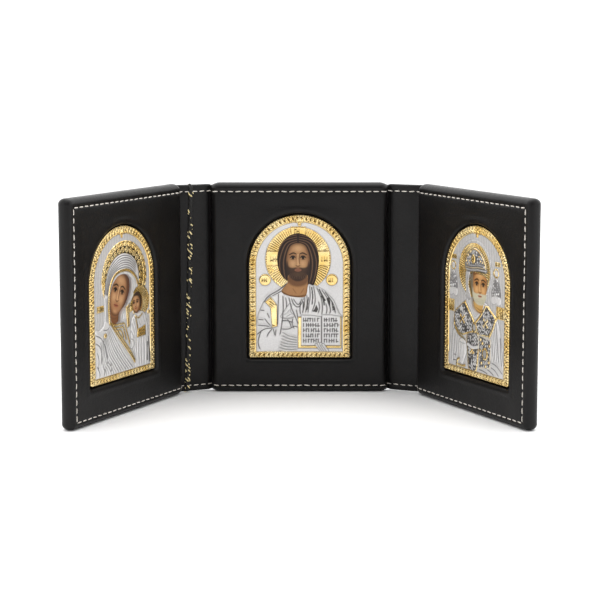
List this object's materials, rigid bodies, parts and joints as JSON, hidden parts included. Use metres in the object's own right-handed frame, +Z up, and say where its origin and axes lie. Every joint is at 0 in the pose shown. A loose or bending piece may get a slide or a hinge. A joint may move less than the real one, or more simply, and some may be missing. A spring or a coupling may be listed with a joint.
{
  "type": "triptych altarpiece",
  "caption": "Leather folding triptych with arched stamped icon plates, hinged wings on thin strips and an elastic cord loop; stands open and folds flat.",
  "frame": {"origin": "middle of the centre panel's underside", "axes": "+Z up, -Y out of the centre panel's front, +X to the right as seen from the front"},
  "size_m": [0.2126, 0.0877, 0.1044],
  "materials": {
    "leather": "smooth fine-grained, satin",
    "stamped_metal": "silvered and gilded, stamped relief",
    "painted_board": "printed picture, satin",
    "elastic": "braided elastic with metallic thread"
  },
  "bodies": {
    "centre": {"centre_panel": "leather", "centre_icon_plate": "stamped_metal", "centre_icon_painting": "painted_board"},
    "left_strip": {"left_spine": "leather", "elastic_cord": "elastic"},
    "left_wing": {"left_wing_panel": "leather", "left_icon_plate": "stamped_metal", "left_icon_painting": "painted_board"},
    "right_strip": {"right_spine": "leather"},
    "right_wing": {"right_wing_panel": "leather", "right_icon_plate": "stamped_metal", "right_icon_painting": "painted_board"}
  },
  "joints": [
    {"name": "left_strip_fold", "type": "hinge", "parent": "centre", "child": "left_strip", "pos_m": [-0.044, 0.00215, 0.052], "axis": [0, 0, 1], "range_deg": [-22.7, 67.3]},
    {"name": "left_wing_fold", "type": "hinge", "parent": "left_strip", "child": "left_wing", "pos_m": [-0.06236, -0.00553, 0.052], "axis": [0, 0, 1], "range_deg": [-37.55, 48.45]},
    {"name": "right_strip_fold", "type": "hinge", "parent": "centre", "child": "right_strip", "pos_m": [0.044, 0.00215, 0.052], "axis": [0, 0, -1], "range_deg": [-22.7, 49.3]},
    {"name": "right_wing_fold", "type": "hinge", "parent": "right_strip", "child": "right_wing", "pos_m": [0.06236, -0.00553, 0.052], "axis": [0, 0, -1], "range_deg": [-37.55, 74.45]}
  ]
}
